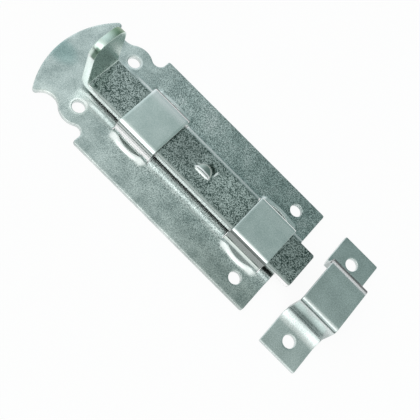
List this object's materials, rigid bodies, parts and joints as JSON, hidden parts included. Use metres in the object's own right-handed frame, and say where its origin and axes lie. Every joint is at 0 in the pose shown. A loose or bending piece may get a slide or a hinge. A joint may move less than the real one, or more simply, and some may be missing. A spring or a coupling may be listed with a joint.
{
  "type": "barrel bolt",
  "caption": "Flat slide bolt in zinc-plated steel, on an ornamental back plate with pressed guide straps, a bent-up handle and a separate bridge keeper.",
  "frame": {"origin": "flat back of the plate's head, on the middle line, 10.5 mm in front of the head's crown", "axes": "+X is the way the bolt is thrown, towards the keeper; +Z points away from the door; +Y is across the plate"},
  "size_m": [0.1503, 0.0588, 0.0284],
  "materials": {
    "plate_zinc": "bright zinc plating with a fine mottled grain",
    "strap_zinc": "bright zinc plating, smooth",
    "bolt_zinc": "bright zinc plating with a coarse mottled grain",
    "keeper_zinc": "bright zinc plating, smooth"
  },
  "bodies": {
    "plate": {"back_plate": "plate_zinc", "rear_guide_strap": "strap_zinc", "front_guide_strap": "strap_zinc", "keeper": "keeper_zinc"},
    "bolt": {"slide_bolt": "bolt_zinc"}
  },
  "joints": [
    {"name": "bolt_slide", "type": "slide", "parent": "plate", "child": "bolt", "axis": [1, 0, 0], "range_m": [-0.0135, 0.018]}
  ]
}
